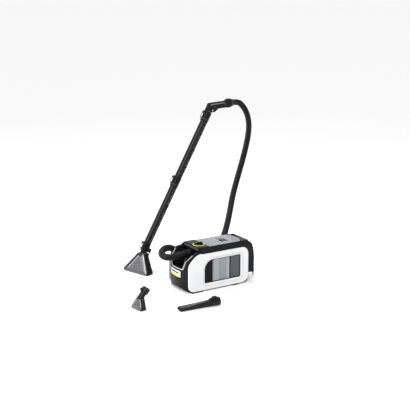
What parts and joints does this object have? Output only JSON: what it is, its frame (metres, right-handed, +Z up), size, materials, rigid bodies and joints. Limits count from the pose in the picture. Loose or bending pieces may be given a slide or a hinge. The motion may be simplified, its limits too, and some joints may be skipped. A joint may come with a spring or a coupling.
{
  "type": "spot extractor",
  "caption": "Portable spray-extraction spot cleaner with clear water tanks, a hose, a straight wand on its floor nozzle, and loose upholstery and crevice tools.",
  "frame": {"origin": "bottom centre of the box round every piece but the hose, on the floor", "axes": "+X from the machine's hose end to its battery end, +Y from the near side panel to the wand, +Z up"},
  "size_m": [1.3294, 1.0649, 0.9585],
  "materials": {
    "white_plastic": "smooth satin white moulding",
    "black_plastic": "fine-grained black moulding",
    "black_gloss": "polished black moulding",
    "grey_trim": "satin grey trim",
    "badge_white": "glossy plain plate with a yellow band",
    "lid_grey": "translucent blue-grey moulding",
    "tank_waste": "translucent light grey moulding",
    "tank_fresh": "translucent dark grey moulding",
    "window_grey": "smoked clear moulding",
    "yellow_plastic": "satin yellow",
    "soft_rubber": "matt rubber",
    "hose_black": "ribbed flexible hose",
    "steel": "plain steel",
    "brass_valve": "turned brass",
    "motor_casing": "cast housing",
    "circuit_green": "circuit board",
    "float_white": "hollow float"
  },
  "bodies": {
    "root": {"side_panel_near": "white_plastic", "side_panel_far": "white_plastic", "base_pan": "black_plastic", "housing_screws": "steel", "feet": "soft_rubber", "front_housing": "black_plastic", "recess_trim": "grey_trim", "badge": "badge_white", "hose_port": "black_plastic", "console_housing": "black_gloss", "console_trim": "grey_trim", "rotary_switch": "black_plastic", "knob_ring": "yellow_plastic", "chassis": "black_plastic", "motor_mount": "black_plastic", "suction_motor": "motor_casing", "water_pump": "motor_casing", "control_board": "circuit_green", "door_hinge_pin": "steel", "rear_cover": "black_gloss", "battery_pack": "black_plastic", "nozzle_body": "black_plastic", "nozzle_window": "window_grey", "nozzle_lip": "soft_rubber", "bottom_collar": "black_plastic", "spray_coupling": "black_plastic", "spray_tip": "black_plastic", "lower_tube": "black_plastic", "upper_tube": "black_plastic", "lower_spray_line": "black_plastic", "upper_spray_line": "black_plastic", "middle_collar": "black_plastic", "top_collar": "black_plastic", "handle_shell_left": "black_plastic", "handle_shell_right": "black_plastic", "trigger_pin": "steel", "spray_valve": "brass_valve", "hose": "hose_black"},
    "power_knob": {"power_knob": "black_gloss"},
    "tank_unit": {"waste_tank": "tank_waste", "fresh_tank": "tank_fresh", "outlet_valve": "black_plastic", "tank_frame": "black_gloss", "lid_hinge_pin": "steel", "inlet_pipe": "tank_waste", "float_cage": "black_plastic"},
    "tank_lid": {"tank_lid": "lid_grey", "lid_grip": "lid_grey", "tank_seal": "soft_rubber"},
    "float": {"float_ball": "float_white"},
    "battery_door": {"battery_door": "black_gloss"},
    "door_latch": {"door_latch": "black_plastic"},
    "trigger": {"trigger": "black_plastic"},
    "hose_cuff": {"hose_cuff": "black_plastic"},
    "bottom_latch": {"bottom_latch": "black_plastic"},
    "middle_latch": {"middle_latch": "black_plastic"},
    "top_latch": {"top_latch": "black_plastic"},
    "upholstery_tool": {"upholstery_body": "black_plastic", "upholstery_window": "window_grey"},
    "crevice_tool": {"crevice_tool": "black_plastic"}
  },
  "joints": [
    {"name": "power_knob_turn", "type": "hinge", "parent": "root", "child": "power_knob", "pos_m": [-0.10079, -0.1843, 0.25], "axis": [0, 0, 1], "range_deg": [0, 90]},
    {"name": "tank_lift", "type": "slide", "parent": "root", "child": "tank_unit", "axis": [0, 0, 1], "range_m": [0, 0.25]},
    {"name": "tank_lid_hinge", "type": "hinge", "parent": "tank_unit", "child": "tank_lid", "pos_m": [-0.05829, -0.1623, 0.239], "axis": [0, -1, 0], "range_deg": [0, 80]},
    {"name": "float_rise", "type": "slide", "parent": "tank_unit", "child": "float", "axis": [0, 0, 1], "range_m": [0, 0.02]},
    {"name": "battery_door_hinge", "type": "hinge", "parent": "root", "child": "battery_door", "pos_m": [0.2002, -0.1623, 0.236], "axis": [0, -1, 0], "range_deg": [0, 100]},
    {"name": "door_latch_hinge", "type": "hinge", "parent": "battery_door", "child": "door_latch", "pos_m": [0.22351, -0.1623, 0.097], "axis": [0, -1, 0], "range_deg": [0, 35], "stiffness_Nm_per_rad": 0.05},
    {"name": "trigger_pull", "type": "hinge", "parent": "root", "child": "trigger", "pos_m": [0.36883, 0.43072, 0.9], "axis": [0.2993, -0.9542, 0], "range_deg": [0, 6], "stiffness_Nm_per_rad": 0.6},
    {"name": "hose_cuff_swivel", "type": "hinge", "parent": "root", "child": "hose_cuff", "pos_m": [0.55585, 0.48938, 0.929], "axis": [0.9542, 0.2993, 0], "continuous": true},
    {"name": "bottom_latch_hinge", "type": "hinge", "parent": "root", "child": "bottom_latch", "pos_m": [-0.21752, 0.26772, 0.16816], "axis": [0.4798, 0.7812, -0.3993], "range_deg": [0, 25], "stiffness_Nm_per_rad": 0.05},
    {"name": "middle_latch_hinge", "type": "hinge", "parent": "root", "child": "middle_latch", "pos_m": [0.04655, 0.35055, 0.52559], "axis": [0.4228, 0.7634, -0.4884], "range_deg": [0, 25], "stiffness_Nm_per_rad": 0.05},
    {"name": "top_latch_hinge", "type": "hinge", "parent": "root", "child": "top_latch", "pos_m": [0.31904, 0.43603, 0.89509], "axis": [0.4228, 0.7634, -0.4884], "range_deg": [0, 25], "stiffness_Nm_per_rad": 0.05},
    {"name": "upholstery_tool_lift", "type": "slide", "parent": "root", "child": "upholstery_tool", "axis": [0, 0, 1], "range_m": [0, 0.3]},
    {"name": "crevice_tool_lift", "type": "slide", "parent": "root", "child": "crevice_tool", "axis": [0, 0, 1], "range_m": [0, 0.3]}
  ]
}
